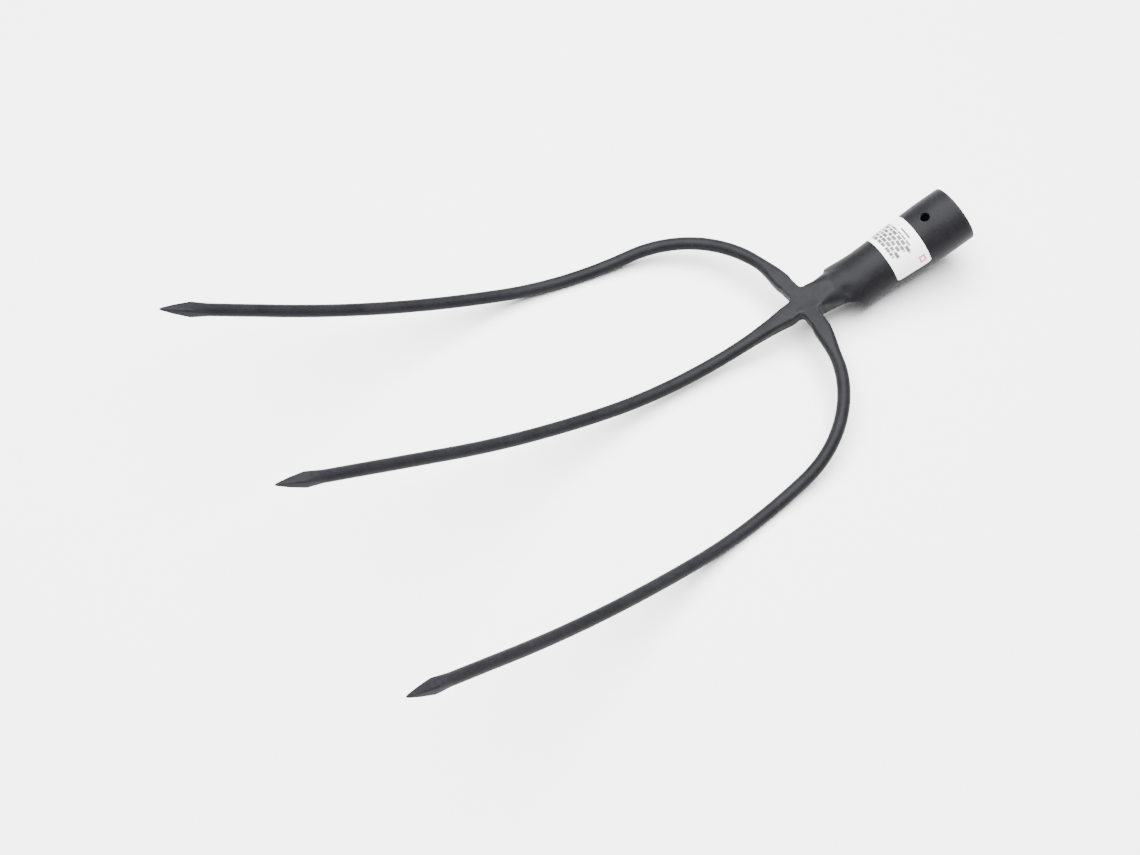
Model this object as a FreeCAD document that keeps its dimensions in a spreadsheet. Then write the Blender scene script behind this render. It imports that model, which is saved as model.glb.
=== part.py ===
import FreeCAD, Part
import math
import os
import Sketcher

# Head of a three-tine hay fork, in millimetres.
# The sizes are laid out with the middle of the crown at the origin, the socket along +X,
# the tines towards -X and the side that carries the load facing up.
# At the end the whole head is tipped to rest on a flat floor.

HALF = 0.5
HALF_TURN = 180
FULL_TURN = 360

# How a sketch counts the start, end and middle of an edge, and its own origin.
START, END, CENTRE = range(1, 4)
ROOT = -START

# How many arcs make a round section.
ARCS = 8


class Formula:
    """A number together with the text that works it out from the sheet."""

    def __init__(self, value, text):
        self.value = value
        self.text = text

    def __add__(self, other):
        return joined(self, "+", other)

    def __radd__(self, other):
        return joined(other, "+", self)

    def __sub__(self, other):
        return joined(self, "-", other)

    def __rsub__(self, other):
        return joined(other, "-", self)

    def __mul__(self, other):
        return joined(self, "*", other)

    def __rmul__(self, other):
        return joined(other, "*", self)

    def __truediv__(self, other):
        return joined(self, "/", other)

    def __rtruediv__(self, other):
        return joined(other, "/", self)

    def __neg__(self):
        return Formula(-self.value, "(-%s)" % self.text)


def formula(item):
    if isinstance(item, Formula):
        return item
    return Formula(float(item), "%.10g" % item if item >= 0 else "(%.10g)" % item)


def joined(left, sign, right):
    left = formula(left)
    right = formula(right)
    sums = {
        "+": left.value + right.value,
        "-": left.value - right.value,
        "*": left.value * right.value,
    }
    value = left.value / right.value if sign == "/" else sums[sign]
    return Formula(value, "(%s %s %s)" % (left.text, sign, right.text))


def cosine(angle):
    angle = formula(angle)
    return Formula(math.cos(math.radians(angle.value)), "cos(%s)" % angle.text)


def sine(angle):
    angle = formula(angle)
    return Formula(math.sin(math.radians(angle.value)), "sin(%s)" % angle.text)


doc = FreeCAD.newDocument("fork_head")
sheet = doc.addObject("Spreadsheet::Sheet", "Sizes")
rows = [0]


def cell(alias, content, note):
    rows[0] += 1
    sheet.set("A%d" % rows[0], note)
    sheet.set("B%d" % rows[0], content)
    sheet.setAlias("B%d" % rows[0], alias)


def size(alias, value, note):
    """A driving dimension: a plain number in the sheet."""
    cell(alias, "%.10g" % value, note)
    return Formula(float(value), "Sizes.%s" % alias)


def derived(alias, result, note):
    """A dimension worked out from others in the sheet."""
    cell(alias, "=" + result.text.replace("Sizes.", ""), note)
    return Formula(result.value, "Sizes.%s" % alias)


# Crown: the flat forging where the three arms and the neck meet.
crown_thickness = size("crown_thickness", 9.2, "thickness of the flat forging")
edge_round = size("edge_round", 2.2, "rounding of the upper edges")
under_bevel = size("under_bevel", 1.7, "bevel of the lower edges")
crotch_round = size("crotch_round", 3.0, "fillet between middle tine and arms")
middle_width = size("middle_width", 11.6, "width of the middle tine at the crown")
middle_reach = size("middle_reach", 14.0, "crown centre to the middle tine face")
arm_heading = size("arm_heading", 96.0, "direction of the arms from the socket axis")
arm_width = size("arm_width", 9.6, "width of an arm at the crown")
arm_reach = size("arm_reach", 16.5, "crown centre to the arm face")
neck_width = size("neck_width", 18.6, "width of the neck at the crown")
neck_reach = size("neck_reach", 7.5, "crown centre to the neck face")

# Tines: round bar drawn to a blunt four-sided point.
bar = size("bar_diameter", 8.2, "diameter of the round bar")
slim = size("slim_diameter", 7.7, "diameter of the bar just behind the point")

outer_straight = size("outer_straight", 28.5, "straight part of an arm")
swell_place = size("swell_place", 22.5, "crown centre to the widest part of an arm")
swell_width = size("swell_width", 10.9, "width there")
swell_depth = size("swell_depth", 8.7, "thickness there")
swell_round = size("swell_round", 2.9, "corner there")
round_turn = size("round_turn", 8.5, "turn from the straight to the round bar")
shoulder_radius = size("shoulder_radius", 80.0, "radius of the shoulder bend")
shoulder_turn = size("shoulder_turn", 74.0, "turn of the shoulder bend")
outer_turn_1 = size("outer_turn_1", 27.5, "turn of the first upward bend")
outer_radius_1 = size("outer_radius_1", 180.0, "radius of the first upward bend")
outer_turn_2 = size("outer_turn_2", 14.0, "turn of the gentler upward bend")
outer_radius_2 = size("outer_radius_2", 630.0, "radius of the gentler upward bend")
outer_run = size("outer_run", 77.0, "straight run to the tip")

middle_straight = size("middle_straight", 41.0, "crown centre to the first bend")
taper_place = size("taper_place", 24.0, "crown centre to the root's middle section")
taper_width = size("taper_width", 9.8, "width there")
taper_depth = size("taper_depth", 8.6, "thickness there")
taper_round = size("taper_round", 3.3, "corner there")
middle_turn_1 = size("middle_turn_1", 27.5, "turn of the first upward bend")
middle_radius_1 = size("middle_radius_1", 220.0, "radius of the first upward bend")
middle_turn_2 = size("middle_turn_2", 12.5, "turn of the gentler upward bend")
middle_radius_2 = size("middle_radius_2", 540.0, "radius of the gentler upward bend")
middle_run = size("middle_run", 117.0, "straight run to the tip")

point_start = size("point_start", 27.0, "distance from the tip where the bar ends")
point_back = size("point_back", 21.5, "distance of the shoulder of the point")
point_back_width = size("point_back_width", 8.8, "width there")
point_back_depth = size("point_back_depth", 7.6, "thickness there")
point_back_round = size("point_back_round", 2.6, "corner there")
point_edge = size("point_edge", 17.5, "distance where the four facets start")
point_edge_width = size("point_edge_width", 8.4, "width there")
point_edge_depth = size("point_edge_depth", 7.0, "thickness there")
point_edge_round = size("point_edge_round", 1.5, "corner there")
point_mid = size("point_mid", 8.0, "distance of the middle of the facets")
point_mid_width = size("point_mid_width", 5.4, "width there")
point_mid_depth = size("point_mid_depth", 4.6, "thickness there")
point_mid_round = size("point_mid_round", 0.8, "corner there")
point_end_width = size("point_end_width", 1.6, "width of the blunt end")
point_end_depth = size("point_end_depth", 1.4, "thickness of the blunt end")
point_end_round = size("point_end_round", 0.35, "corner of the blunt end")

# Socket: sheet rolled to a cone that flares at its front and runs straight at its mouth.
# Its places are counted along its own axis, which starts at the front and rises a little.
socket_start = size("socket_start", 25.0, "crown centre to the front of the socket")
socket_drop = size("socket_drop", 14.1, "axis at the front, below the crown's middle plane")
socket_tilt = size("socket_tilt", 3.0, "rise of the axis, in degrees")
socket_length = size("socket_length", 88.6, "front to mouth")
front_radius = size("front_radius", 18.2, "outer radius at the front")
waist_radius = size("waist_radius", 16.9, "outer radius at the narrowest place")
mouth_radius = size("mouth_radius", 19.0, "outer radius of the mouth")
mouth_length = size("mouth_length", 20.0, "straight length at the mouth")
wall = size("sheet_wall", 2.0, "thickness of the sheet")
rim_bevel = size("rim_bevel", 0.6, "bevel around the outside of the mouth")
seam_width = size("seam_width", 1.2, "open seam underneath")
joined_half_angle = size("joined_half_angle", 55.0, "half angle of the sheet joined to the neck")
brow_place = size("brow_place", 4.5, "front to the bend in the sheet's edge")
brow_rise = size("brow_rise", 4.5, "height of that bend above the axis")
ear_place = size("ear_place", 9.2, "front to the ears of the sheet")
ear_depth = size("ear_depth", 8.6, "depth of the ears below the axis")
under_place = size("under_place", 20.0, "front to the sheet's edge underneath")
nail_from_mouth = size("nail_from_mouth", 20.4, "nail hole to the mouth")
nail_diameter = size("nail_diameter", 6.3, "diameter of the nail hole")
overrun = size("overrun", 4.0, "length that cuts run past the metal")

# Label: thin paper around the upper side of the socket.
label_from_mouth = size("label_from_mouth", 31.5, "near edge of the label to the mouth")
label_width = size("label_width", 26.8, "its width along the socket")
label_sweep = size("label_sweep", 158.0, "angle it covers around the socket")
label_middle = size("label_middle", -5.0, "turn of its middle from the top")
label_thickness = size("label_thickness", 0.2, "thickness of the paper")
waist_gap = size("waist_gap", 9.2, "narrowest place to the label")

# Neck: from the solid bar to the curved sheet, with skirts at its sides.
skirt_foot_0 = size("skirt_foot_0", -8.4, "height of its lower edges at the crown")
skirt_inner_0 = size("skirt_inner_0", 5.6, "half width of the hollow there")
skirt_roof_0 = size("skirt_roof_0", -3.4, "height of the hollow's roof there")
neck_place = size("neck_place", 20.0, "crown centre to the middle section")
neck_half = size("neck_half", 10.5, "half width there")
neck_top = size("neck_top", 4.5, "height of its top")
neck_round = size("neck_round", 5.0, "rounding of its upper corners")
neck_foot = size("neck_foot", -6.9, "height of its lower edges")
neck_inner = size("neck_inner", 8.0, "half width of the hollow")
neck_roof = size("neck_roof", 0.7, "height of the hollow's roof")

# Rest: the bellies of the outer tines and the weight of the socket decide how it lies.
rest_pitch = size("rest_pitch", 12.4, "how far the socket end is raised, in degrees")

half_crown = derived("half_crown", crown_thickness * HALF, "half the thickness")
half_bar = derived("half_bar", bar * HALF, "half the bar")
half_slim = derived("half_slim", slim * HALF, "half the slim bar")
inner_front = derived("inner_front", front_radius - wall, "inner radius at the front")
inner_waist = derived("inner_waist", waist_radius - wall, "inner radius at the narrowest place")
inner_mouth = derived("inner_mouth", mouth_radius - wall, "inner radius of the mouth")
cone_end = derived("cone_end", socket_length - mouth_length, "front to the end of the cone")
nail_place = derived("nail_place", socket_length - nail_from_mouth, "front to the nail hole")
label_end = derived("label_end", socket_length - label_from_mouth, "front to the label's edge")
label_start = derived("label_start", label_end - label_width, "front to its other edge")
waist_place = derived("waist_place", label_start - waist_gap, "front to the narrowest place")
cone_rise = mouth_radius - waist_radius
cone_slope = derived("cone_slope", cone_rise / (cone_end - waist_place), "slope of the cone")


def new_body(name):
    body = doc.addObject("PartDesign::Body", name)
    body.Label = name
    return body


def plane(body, role):
    for item in body.Origin.OriginFeatures:
        if item.Role == role:
            return (item, "")
    raise ValueError(role)


def new_sketch(body, name, role, offset=None):
    """A sketch on one of the body's own planes; offset is the text that places it."""
    sketch = body.newObject("Sketcher::SketchObject", name)
    sketch.AttachmentSupport = [plane(body, role)]
    sketch.MapMode = "FlatFace"
    if offset:
        sketch.setExpression("AttachmentOffset", offset)
    return sketch


def bind(sketch, constraint, name, value):
    index = sketch.addConstraint(constraint)
    sketch.renameConstraint(index, name)
    sketch.setExpression("Constraints." + name, value.text)


def pin(sketch, edge, end, across, up, name):
    """Hold one end of an edge at a place given from the sketch's origin."""
    for kind, value, suffix in (("DistanceX", across, "_across"), ("DistanceY", up, "_up")):
        value = formula(value)
        constraint = Sketcher.Constraint(kind, ROOT, START, edge, end, value.value)
        bind(sketch, constraint, name + suffix, value)


def arc_between(start, end, radius, hollow):
    """Circle arc from start to end, counter-clockwise unless hollow."""
    first, last = (end, start) if hollow else (start, end)
    span = last - first
    half_span = span.Length * HALF
    rise = math.sqrt(max(radius * radius - half_span * half_span, 0.0))
    left = FreeCAD.Vector(-span.y, span.x, 0).normalize()
    centre = first + span * HALF + left * rise
    begin = math.atan2(first.y - centre.y, first.x - centre.x)
    finish = math.atan2(last.y - centre.y, last.x - centre.x)
    circle = Part.Circle(centre, FreeCAD.Vector(0, 0, 1), radius)
    return Part.ArcOfCircle(circle, begin, finish)


def outline(sketch, corners, radii):
    """Closed outline through the corners, counter-clockwise.

    A radius makes the edge after its corner an arc, a negative radius a hollow one.
    """
    points = [FreeCAD.Vector(formula(a).value, formula(b).value, 0) for a, b in corners]
    edges = []
    for index, radius in enumerate(radii):
        start = points[index]
        end = points[index + 1 - len(points)]
        if radius is None:
            line = sketch.addGeometry(Part.LineSegment(start, end), False)
            edges.append((line, START, END))
        else:
            hollow = radius.value < 0
            arc = sketch.addGeometry(arc_between(start, end, abs(radius.value), hollow), False)
            edges.append((arc, END, START) if hollow else (arc, START, END))
    for index, (edge, begin, finish) in enumerate(edges):
        other, other_begin, _ = edges[index + 1 - len(edges)]
        joint = Sketcher.Constraint("Coincident", edge, finish, other, other_begin)
        sketch.addConstraint(joint)
    for index, (edge, begin, finish) in enumerate(edges):
        pin(sketch, edge, begin, corners[index][0], corners[index][1], "corner%d" % index)
        radius = radii[index]
        if radius is not None:
            value = -radius if radius.value < 0 else radius
            bend = Sketcher.Constraint("Radius", edge, value.value)
            bind(sketch, bend, "bend%d" % index, value)


def bar_section(sketch, width, depth, radius):
    """Rectangle with rounded corners, eight edges."""
    across = width * HALF
    up = depth * HALF
    corners = [
        (across, radius - up),
        (across, up - radius),
        (across - radius, up),
        (radius - across, up),
        (-across, up - radius),
        (-across, radius - up),
        (radius - across, -up),
        (across - radius, -up),
    ]
    outline(sketch, corners, [None, radius, None, radius, None, radius, None, radius])


def round_section(sketch, radius):
    """Circle drawn as eight arcs, so that it joins a rounded rectangle edge by edge."""
    turn = formula(HALF_TURN) / ARCS
    near = radius * sine(turn)
    far = radius * cosine(turn)
    corners = [
        (far, -near),
        (far, near),
        (near, far),
        (-near, far),
        (-far, near),
        (-far, -near),
        (-near, -far),
        (near, -far),
    ]
    outline(sketch, corners, [radius] * len(corners))


def facing(x, y, z, heading, pitch):
    """Text that puts a cross-section at a point, facing along a heading and a pitch."""
    items = tuple(formula(item).text for item in (y, z, x, heading, -formula(pitch)))
    return (
        "placement(vector(%s; %s; %s);"
        " rotation(vector(0; 1; 0); %s) * rotation(vector(1; 0; 0); %s))" % items
    )


def loft(body, name, sketches):
    feature = body.newObject("PartDesign::AdditiveLoft", name)
    feature.Profile = sketches[0]
    feature.Sections = sketches[1:]
    feature.Ruled = True
    doc.recompute()
    return feature


def pipe(body, name, profile, path):
    feature = body.newObject("PartDesign::AdditivePipe", name)
    feature.Profile = profile
    feature.Spine = path
    doc.recompute()
    return feature


def path_arc(sketch, centre, radius, begin, finish, side):
    middle = FreeCAD.Vector(centre[0].value, centre[1].value, 0)
    first, last = (begin, finish) if side > 0 else (finish, begin)
    angle_1 = math.atan2(first[1].value - middle.y, first[0].value - middle.x)
    angle_2 = math.atan2(last[1].value - middle.y, last[0].value - middle.x)
    ring = Part.Circle(middle, FreeCAD.Vector(0, 0, 1), radius.value)
    return sketch.addGeometry(Part.ArcOfCircle(ring, angle_1, angle_2), False)


def bend_path(sketch, radius, turn_0, turn_1, side=1):
    """A bend that starts along the sketch's first axis.

    It is drawn from turn_0 to turn_1, so that a section at turn_0 fits it.
    """
    centre = (formula(0), radius * side)
    begin = (radius * sine(turn_0), (radius - radius * cosine(turn_0)) * side)
    finish = (radius * sine(turn_1), (radius - radius * cosine(turn_1)) * side)
    edge = path_arc(sketch, centre, radius, begin, finish, side)
    first, last = (START, END) if side > 0 else (END, START)
    pin(sketch, edge, CENTRE, centre[0], centre[1], "bend_centre")
    pin(sketch, edge, first, begin[0], begin[1], "bend_start")
    reach = Sketcher.Constraint("DistanceX", ROOT, START, edge, last, finish[0].value)
    bind(sketch, reach, "bend_end", finish[0])
    return edge, finish


def gentler_bend(sketch, first_edge, joint, radius_1, turn_1, radius_2, turn_2):
    """A second bend, of a larger radius, that carries on from the first one."""
    step = radius_2 - radius_1
    centre = (-step * sine(turn_1), radius_1 + step * cosine(turn_1))
    total = turn_1 + turn_2
    finish = (centre[0] + radius_2 * sine(total), centre[1] - radius_2 * cosine(total))
    edge = path_arc(sketch, centre, radius_2, joint, finish, 1)
    sketch.addConstraint(Sketcher.Constraint("Coincident", first_edge, END, edge, START))
    pin(sketch, edge, CENTRE, centre[0], centre[1], "gentler_centre")
    reach = Sketcher.Constraint("DistanceX", ROOT, START, edge, END, finish[0].value)
    bind(sketch, reach, "gentler_end", finish[0])
    return finish


class Course:
    """Places along a tine: a start, a heading in plan and a blade that bends upwards."""

    def __init__(self, x, y, heading, side=1):
        self.x = formula(x)
        self.y = formula(y)
        self.heading = formula(heading)
        self.side = side

    def at(self, along, up, pitch):
        """Text for a section at a place in the blade's own plane."""
        x = self.x + along * cosine(self.heading)
        y = (self.y + along * sine(self.heading)) * self.side
        return facing(x, y, up, self.heading * self.side, pitch)

    def plane(self):
        """Text that turns the upright plane of the body to the blade."""
        across = -self.y * self.side
        turn = self.heading * self.side
        items = (self.x.text, across.text, turn.text)
        return "placement(vector(%s; 0; %s); rotation(vector(0; 1; 0); %s))" % items


def blade(body, course, radius_1, turn_0, turn_1, radius_2, turn_2, run):
    """The round bar bending upwards, its straight run and the point."""
    rise = radius_1 - radius_1 * cosine(turn_0)
    begin_place = course.at(radius_1 * sine(turn_0), rise, turn_0)
    begin = new_sketch(body, "bar_start", "YZ_Plane", begin_place)
    round_section(begin, half_bar)
    path = new_sketch(body, "blade_path", "XZ_Plane", course.plane())
    edge, joint = bend_path(path, radius_1, turn_0, turn_1)
    end = gentler_bend(path, edge, joint, radius_1, turn_1, radius_2, turn_2)
    pipe(body, "blade_bend", begin, path)
    total = turn_1 + turn_2
    forward = cosine(total)
    upward = sine(total)

    def section(name, back):
        length = run - back
        offset = course.at(end[0] + length * forward, end[1] + length * upward, total)
        return new_sketch(body, name, "YZ_Plane", offset)

    first = section("run_start", run)
    round_section(first, half_bar)
    second = section("run_end", point_start)
    round_section(second, half_slim)
    loft(body, "straight_run", [first, second])
    start = section("point_start", point_start)
    round_section(start, half_slim)
    back = section("point_back", point_back)
    bar_section(back, point_back_width, point_back_depth, point_back_round)
    edge = section("point_edge", point_edge)
    bar_section(edge, point_edge_width, point_edge_depth, point_edge_round)
    middle = section("point_middle", point_mid)
    bar_section(middle, point_mid_width, point_mid_depth, point_mid_round)
    tip = section("point_end", formula(0))
    bar_section(tip, point_end_width, point_end_depth, point_end_round)
    loft(body, "point", [start, back, edge, middle, tip])


def make_middle_tine():
    body = new_body("middle_tine")
    course = Course(0, 0, HALF_TURN)
    face = new_sketch(body, "root_face", "YZ_Plane", course.at(middle_reach, 0, 0))
    bar_section(face, middle_width, crown_thickness, edge_round)
    taper = new_sketch(body, "root_taper", "YZ_Plane", course.at(taper_place, 0, 0))
    bar_section(taper, taper_width, taper_depth, taper_round)
    last = new_sketch(body, "root_round", "YZ_Plane", course.at(middle_straight, 0, 0))
    round_section(last, half_bar)
    loft(body, "root", [face, taper, last])
    bend = Course(-middle_straight, 0, HALF_TURN)
    blade(
        body,
        bend,
        middle_radius_1,
        formula(0),
        middle_turn_1,
        middle_radius_2,
        middle_turn_2,
        middle_run,
    )
    return body


def shoulder_place(turn):
    """Point and heading on the shoulder bend, in the crown's middle plane."""
    heading = arm_heading + turn
    x = outer_straight * cosine(arm_heading)
    y = outer_straight * sine(arm_heading)
    x = x + shoulder_radius * (sine(heading) - sine(arm_heading))
    y = y + shoulder_radius * (cosine(arm_heading) - cosine(heading))
    return x, y, heading


def make_outer_tine(name, side):
    body = new_body(name)

    def on_shoulder(turn):
        x, y, heading = shoulder_place(turn)
        return facing(x, y * side, 0, heading * side, 0)

    arm = Course(0, 0, arm_heading, side)
    face = new_sketch(body, "root_face", "YZ_Plane", arm.at(arm_reach, 0, 0))
    bar_section(face, arm_width, crown_thickness, edge_round)
    swell = new_sketch(body, "root_swell", "YZ_Plane", arm.at(swell_place, 0, 0))
    bar_section(swell, swell_width, swell_depth, swell_round)
    last = new_sketch(body, "root_round", "YZ_Plane", on_shoulder(round_turn))
    round_section(last, half_bar)
    loft(body, "root", [face, swell, last])
    x, y, heading = shoulder_place(formula(0))
    path_items = (x.text, (y * side).text, (heading * side).text)
    path_place = "placement(vector(%s; %s; 0); rotation(vector(0; 0; 1); %s))" % path_items
    path = new_sketch(body, "shoulder_path", "XY_Plane", path_place)
    bend_path(path, shoulder_radius, round_turn, shoulder_turn, side)
    profile = new_sketch(body, "shoulder_start", "YZ_Plane", on_shoulder(round_turn))
    round_section(profile, half_bar)
    pipe(body, "shoulder_bend", profile, path)
    x, y, heading = shoulder_place(shoulder_turn)
    course = Course(
        derived(name + "_blade_x", x, "where the upward bend starts"),
        derived(name + "_blade_y", y, "where the upward bend starts"),
        heading,
        side,
    )
    blade(
        body,
        course,
        outer_radius_1,
        formula(0),
        outer_turn_1,
        outer_radius_2,
        outer_turn_2,
        outer_run,
    )
    return body


def make_crown():
    body = new_body("crown")
    sketch = new_sketch(body, "crown_outline", "XY_Plane")
    half_arm = arm_width * HALF
    half_middle = middle_width * HALF
    half_neck = neck_width * HALF
    # direction of an arm, and the steps from its middle line to its two sides
    cos_arm = cosine(arm_heading)
    sin_arm = sine(arm_heading)
    step_x = half_arm * sin_arm
    step_y = half_arm * cos_arm
    inner_end = (arm_reach * cos_arm - step_x, arm_reach * sin_arm + step_y)
    outer_end = (arm_reach * cos_arm + step_x, arm_reach * sin_arm - step_y)
    crotch_run = (half_middle - step_y) / sin_arm
    crotch = (crotch_run * cos_arm - step_x, half_middle)
    corner_run = (half_neck + step_y) / sin_arm
    corner = (corner_run * cos_arm + step_x, half_neck)
    upper = [
        (neck_reach, half_neck),
        corner,
        outer_end,
        inner_end,
        crotch,
        (-middle_reach, half_middle),
    ]
    lower = [(x, -y) for x, y in reversed(upper)]
    corners = upper + lower
    outline(sketch, corners, [None] * len(corners))
    pad = body.newObject("PartDesign::Pad", "crown_plate")
    pad.Profile = sketch
    pad.SideType = "Symmetric"
    pad.setExpression("Length", crown_thickness.text)
    doc.recompute()
    crotch_edges = upright_edges(body.Tip, crotch)
    edge_feature(body, "PartDesign::Fillet", "crotch_fillet", crotch_edges, "Radius", crotch_round)
    top_edges = rim_edges(body.Tip, 1)
    edge_feature(body, "PartDesign::Fillet", "top_rounding", top_edges, "Radius", edge_round)
    under_edges = rim_edges(body.Tip, -1)
    edge_feature(body, "PartDesign::Chamfer", "under_bevel", under_edges, "Size", under_bevel)
    return body


def edge_feature(body, kind, name, edges, size_name, value):
    """A fillet or a chamfer on edges of the body's last feature."""
    base = body.Tip
    feature = body.newObject(kind, name)
    feature.Base = (base, edges)
    feature.setExpression(size_name, value.text)
    doc.recompute()
    return feature


def upright_edges(feature, place):
    """Names of the upright edges at a place and at its mirror place."""
    names = []
    for index, edge in enumerate(feature.Shape.Edges):
        box = edge.BoundBox
        close = abs(box.Center.x - place[0].value) + abs(abs(box.Center.y) - place[1].value)
        if close < edge_round.value * HALF and box.ZLength > half_crown.value:
            names.append("Edge%d" % (index + 1))
    return names


def rim_edges(feature, side):
    """Names of the long edges of the top or the underside, without those of the end faces."""
    arm_angle = math.radians(arm_heading.value)
    ends = [
        (FreeCAD.Vector(1, 0, 0), neck_reach.value),
        (FreeCAD.Vector(-1, 0, 0), middle_reach.value),
        (FreeCAD.Vector(math.cos(arm_angle), math.sin(arm_angle), 0), arm_reach.value),
        (FreeCAD.Vector(math.cos(arm_angle), -math.sin(arm_angle), 0), arm_reach.value),
    ]
    slack = edge_round.value * HALF * HALF
    names = []
    for index, edge in enumerate(feature.Shape.Edges):
        middle = edge.valueAt((edge.FirstParameter + edge.LastParameter) * HALF)
        level = abs(middle.z - side * half_crown.value) < slack and edge.BoundBox.ZLength < slack
        at_end = any(abs(middle.dot(way) - reach) < slack for way, reach in ends)
        if level and not at_end:
            names.append("Edge%d" % (index + 1))
    return names


def make_neck():
    body = new_body("neck")
    face = new_sketch(body, "skirt_face", "YZ_Plane", facing(neck_reach, 0, 0, 0, 0))
    half = neck_width * HALF
    trough(face, half, half_crown, edge_round, skirt_foot_0, skirt_inner_0, skirt_roof_0)
    waist = new_sketch(body, "trough_face", "YZ_Plane", facing(neck_place, 0, 0, 0, 0))
    trough(waist, neck_half, neck_top, neck_round, neck_foot, neck_inner, neck_roof)
    sheet_place = facing(socket_start, 0, -socket_drop, 0, socket_tilt)
    last = new_sketch(body, "sheet_face", "YZ_Plane", sheet_place)
    sheet_section(last)
    loft(body, "neck_blend", [face, waist, last])
    return body


def trough(sketch, half, top, rounding, foot, inner, roof):
    """Section of the neck: flat top, rounded shoulders, skirts down, hollow underneath."""
    rise = roof - foot
    hollow = -((inner * inner + rise * rise) * HALF / rise)
    corners = [
        (half, foot),
        (half, top - rounding),
        (half - rounding, top),
        (rounding - half, top),
        (-half, top - rounding),
        (-half, foot),
        (-inner, foot),
        (inner, foot),
    ]
    outline(sketch, corners, [None, rounding, None, rounding, None, None, hollow, None])


def sheet_section(sketch):
    """Section of the rolled sheet where the neck runs into the socket, around its axis."""
    skirt_share = 0.8
    shoulder_share = 0.4
    angles = [joined_half_angle * share for share in (1, skirt_share, shoulder_share)]
    right = [(front_radius * sine(angle), front_radius * cosine(angle)) for angle in angles]
    left = [(-across, up) for across, up in reversed(right)]
    inner_across = inner_front * sine(joined_half_angle)
    inner_up = inner_front * cosine(joined_half_angle)
    corners = right + left + [(-inner_across, inner_up), (inner_across, inner_up)]
    outer = front_radius
    outline(sketch, corners, [outer, outer, outer, outer, outer, None, -inner_front, None])


def on_axis(turn):
    """Text that puts a lengthwise sketch on the socket's axis, turned around it."""
    items = (socket_start, -socket_drop, socket_tilt, formula(turn))
    return (
        "placement(vector(%s; %s; 0);"
        " rotation(vector(0; 0; 1); %s) * rotation(vector(1; 0; 0); %s))"
        % tuple(item.text for item in items)
    )


def across_axis():
    """Text that lays a plan sketch on the socket's axis."""
    items = (socket_start, -socket_drop, -socket_tilt)
    return "placement(vector(%s; 0; %s); rotation(vector(0; 1; 0); %s))" % tuple(
        item.text for item in items
    )


def spin(body, name, sketch, angle):
    """Turn a profile around its own first axis, an equal part of the angle each way."""
    feature = body.newObject("PartDesign::Revolution", name)
    feature.Profile = sketch
    feature.ReferenceAxis = (sketch, ["H_Axis"])
    feature.Midplane = True
    feature.setExpression("Angle", formula(angle).text)
    doc.recompute()
    return feature


def make_socket():
    body = new_body("socket")
    profile = new_sketch(body, "wall_profile", "XZ_Plane", on_axis(0))
    corners = [
        (0, inner_front),
        (waist_place, inner_waist),
        (cone_end, inner_mouth),
        (socket_length, inner_mouth),
        (socket_length, mouth_radius - rim_bevel),
        (socket_length - rim_bevel, mouth_radius),
        (cone_end, mouth_radius),
        (waist_place, waist_radius),
        (0, front_radius),
    ]
    outline(profile, corners, [None] * len(corners))
    spin(body, "rolled_sheet", profile, FULL_TURN)
    front = new_sketch(body, "front_profile", "XZ_Plane", on_axis(0))
    joint_up = front_radius * cosine(joined_half_angle)
    below = -(mouth_radius + overrun)
    corners = [
        (-overrun, below),
        (under_place, below),
        (under_place, -front_radius),
        (ear_place, -ear_depth),
        (brow_place, brow_rise),
        (0, joint_up),
        (-overrun, joint_up),
    ]
    outline(front, corners, [None] * len(corners))
    cut(body, "front_cut", front, "Symmetric", False)
    seam = new_sketch(body, "seam_outline", "XY_Plane", across_axis())
    half_seam = seam_width * HALF
    corners = [
        (-overrun, -half_seam),
        (socket_length + overrun, -half_seam),
        (socket_length + overrun, half_seam),
        (-overrun, half_seam),
    ]
    outline(seam, corners, [None] * len(corners))
    cut(body, "seam_cut", seam, "One side", False)
    nail = new_sketch(body, "nail_outline", "XY_Plane", across_axis())
    middle = FreeCAD.Vector(nail_place.value, 0, 0)
    ring = Part.Circle(middle, FreeCAD.Vector(0, 0, 1), nail_diameter.value * HALF)
    hole = nail.addGeometry(ring, False)
    pin(nail, hole, CENTRE, nail_place, 0, "hole")
    bind(nail, Sketcher.Constraint("Diameter", hole, nail_diameter.value), "hole_size", nail_diameter)
    cut(body, "nail_hole", nail, "One side", True)
    return body


def cut(body, name, sketch, side, upward):
    """Cut a sketch right through; one-sided cuts go down unless upward."""
    before = body.Tip.Shape.Volume
    pocket = body.newObject("PartDesign::Pocket", name)
    pocket.Profile = sketch
    pocket.Type = "ThroughAll"
    pocket.SideType = side
    pocket.Reversed = upward
    doc.recompute()
    if not pocket.Shape.Volume < before:
        raise ValueError("%s removed nothing" % name)
    return pocket


def make_label():
    body = new_body("label")
    profile = new_sketch(body, "label_profile", "XZ_Plane", on_axis(-label_middle))
    low_start = waist_radius + (label_start - waist_place) * cone_slope
    low_end = waist_radius + (label_end - waist_place) * cone_slope
    corners = [
        (label_start, low_start),
        (label_end, low_end),
        (label_end, low_end + label_thickness),
        (label_start, low_start + label_thickness),
    ]
    outline(profile, corners, [None] * len(corners))
    spin(body, "label_wrap", profile, label_sweep)
    return body


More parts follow.
